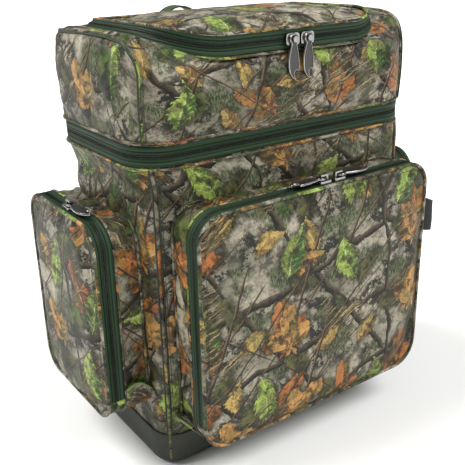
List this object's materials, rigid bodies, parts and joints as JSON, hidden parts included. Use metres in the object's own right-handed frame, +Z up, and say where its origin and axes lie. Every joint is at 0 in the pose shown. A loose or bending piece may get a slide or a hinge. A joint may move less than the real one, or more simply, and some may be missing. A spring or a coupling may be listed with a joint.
{
  "type": "tackle backpack",
  "caption": "Camouflage backpack for fishing tackle: tub-shaped main compartment, zip-off upper box with a lid, zipped front and side pockets, moulded base, padded back and shoulder straps",
  "frame": {"origin": "under the middle of the pack, at the height its base rests on", "axes": "+Z up, -Y towards the front pocket, +Y towards the wearer's back, +X towards the side with the cloth tab"},
  "size_m": [0.482, 0.32, 0.5026],
  "materials": {
    "camo": "leaf-camouflage coated polyester, slightly glossy",
    "base": "textured dark grey-green moulding",
    "tape": "dark green woven zip tape with a dark coil",
    "metal": "gunmetal with a bright worn rim",
    "mesh": "dark air-mesh over foam",
    "webbing": "dark green woven webbing",
    "plastic": "black moulded nylon",
    "label": "plain black woven tab",
    "board": "dark stiffener sheet"
  },
  "bodies": {
    "pack": {"main_shell": "camo", "base_tray": "base", "base_board": "board", "back_pad": "mesh", "belt_zip_lower_tape": "tape", "front_pocket_gusset": "camo", "front_zip_pocket_tape": "tape", "left_pocket_gusset": "camo", "left_zip_pocket_tape": "tape", "right_pocket_gusset": "camo", "right_zip_pocket_tape": "tape", "left_shoulder_strap": "mesh", "right_shoulder_strap": "mesh", "left_ladder_lock": "plastic", "right_ladder_lock": "plastic", "left_strap_webbing": "webbing", "right_strap_webbing": "webbing", "left_webbing_tab": "webbing", "right_webbing_tab": "webbing"},
    "top_section": {"upper_shell": "camo", "belt_zip_upper_tape": "tape", "lid_zip_rim_tape": "tape"},
    "lid": {"lid_panel": "camo", "lid_zip_lid_tape": "tape"},
    "front_flap": {"front_flap_panel": "camo", "front_zip_flap_tape": "tape", "side_label": "label"},
    "left_flap": {"left_flap_panel": "camo", "left_zip_flap_tape": "tape"},
    "right_flap": {"right_flap_panel": "camo", "right_zip_flap_tape": "tape"},
    "grab_loop": {"grab_handle": "webbing"},
    "lid_left_zip_slider": {"lid_left_slider": "metal"},
    "lid_left_zip_puller": {"lid_left_puller": "metal"},
    "lid_right_zip_slider": {"lid_right_slider": "metal"},
    "lid_right_zip_puller": {"lid_right_puller": "metal"},
    "belt_front_zip_slider": {"belt_front_slider": "metal"},
    "belt_front_zip_puller": {"belt_front_puller": "metal"},
    "belt_back_zip_slider": {"belt_back_slider": "metal"},
    "belt_back_zip_puller": {"belt_back_puller": "metal"},
    "front_left_zip_slider": {"front_left_slider": "metal"},
    "front_left_zip_puller": {"front_left_puller": "metal"},
    "front_right_zip_slider": {"front_right_slider": "metal"},
    "front_right_zip_puller": {"front_right_puller": "metal"},
    "left_zip_slider": {"left_slider": "metal"},
    "left_zip_puller": {"left_puller": "metal"},
    "right_zip_slider": {"right_slider": "metal"},
    "right_zip_puller": {"right_puller": "metal"}
  },
  "joints": [
    {"name": "top_tilt", "type": "hinge", "parent": "pack", "child": "top_section", "pos_m": [0, 0.1003, 0.378], "axis": [-1, 0, 0], "range_deg": [0, 90]},
    {"name": "lid_lift", "type": "hinge", "parent": "top_section", "child": "lid", "pos_m": [0, 0.0886, 0.493], "axis": [-1, 0, 0], "range_deg": [0, 100]},
    {"name": "front_flap_fold", "type": "hinge", "parent": "pack", "child": "front_flap", "pos_m": [0.0015, -0.1465, 0.0497], "axis": [1, 0, 0], "range_deg": [0, 85]},
    {"name": "left_flap_fold", "type": "hinge", "parent": "pack", "child": "left_flap", "pos_m": [-0.2275, 0.015, 0.0712], "axis": [0, -1, 0], "range_deg": [0, 85]},
    {"name": "right_flap_fold", "type": "hinge", "parent": "pack", "child": "right_flap", "pos_m": [0.2275, 0.015, 0.0712], "axis": [0, 1, 0], "range_deg": [0, 85]},
    {"name": "grab_loop_fold", "type": "hinge", "parent": "top_section", "child": "grab_loop", "pos_m": [-0.013, 0.102, 0.466], "axis": [-1, 0, 0], "range_deg": [0, 90]},
    {"name": "lid_left_slide", "type": "slide", "parent": "top_section", "child": "lid_left_zip_slider", "axis": [1, 0, 0], "range_m": [-0.068, 0]},
    {"name": "lid_right_slide", "type": "slide", "parent": "top_section", "child": "lid_right_zip_slider", "axis": [1, 0, 0], "range_m": [0, 0.056]},
    {"name": "belt_front_slide", "type": "slide", "parent": "pack", "child": "belt_front_zip_slider", "axis": [0, 1, 0], "range_m": [-0.044, 0]},
    {"name": "belt_back_slide", "type": "slide", "parent": "pack", "child": "belt_back_zip_slider", "axis": [0, 1, 0], "range_m": [0, 0.04]},
    {"name": "front_left_slide", "type": "slide", "parent": "pack", "child": "front_left_zip_slider", "axis": [1, 0, 0], "range_m": [-0.128, 0]},
    {"name": "front_right_slide", "type": "slide", "parent": "pack", "child": "front_right_zip_slider", "axis": [1, 0, 0], "range_m": [0, 0.098]},
    {"name": "left_slide", "type": "slide", "parent": "pack", "child": "left_zip_slider", "axis": [0, 1, 0], "range_m": [-0.034, 0.056]},
    {"name": "right_slide", "type": "slide", "parent": "pack", "child": "right_zip_slider", "axis": [0, 0, 1], "range_m": [-0.054, 0.098]},
    {"name": "lid_left_swing", "type": "hinge", "parent": "lid_left_zip_slider", "child": "lid_left_zip_puller", "pos_m": [-0.004, -0.107, 0.48], "axis": [0, 1, 0], "range_deg": [-5, 75]},
    {"name": "lid_right_swing", "type": "hinge", "parent": "lid_right_zip_slider", "child": "lid_right_zip_puller", "pos_m": [0.0165, -0.107, 0.48], "axis": [0, 1, 0], "range_deg": [-75, 5]},
    {"name": "belt_front_swing", "type": "hinge", "parent": "belt_front_zip_slider", "child": "belt_front_zip_puller", "pos_m": [0.199, 0, 0.378], "axis": [1, 0, 0], "range_deg": [-75, 5]},
    {"name": "belt_back_swing", "type": "hinge", "parent": "belt_back_zip_slider", "child": "belt_back_zip_puller", "pos_m": [0.199, 0.021, 0.378], "axis": [1, 0, 0], "range_deg": [-5, 75]},
    {"name": "front_left_flip", "type": "hinge", "parent": "front_left_zip_slider", "child": "front_left_zip_puller", "pos_m": [0.007, -0.1465, 0.3343], "axis": [0, 1, 0], "range_deg": [0, 150]},
    {"name": "front_right_flip", "type": "hinge", "parent": "front_right_zip_slider", "child": "front_right_zip_puller", "pos_m": [0.028, -0.1465, 0.3343], "axis": [0, -1, 0], "range_deg": [0, 150]},
    {"name": "left_flip", "type": "hinge", "parent": "left_zip_slider", "child": "left_zip_puller", "pos_m": [-0.2275, 0.004, 0.3148], "axis": [-1, 0, 0], "range_deg": [0, 150]},
    {"name": "right_flip", "type": "hinge", "parent": "right_zip_slider", "child": "right_zip_puller", "pos_m": [0.2275, -0.0783, 0.168], "axis": [-1, 0, 0], "range_deg": [0, 150]}
  ]
}
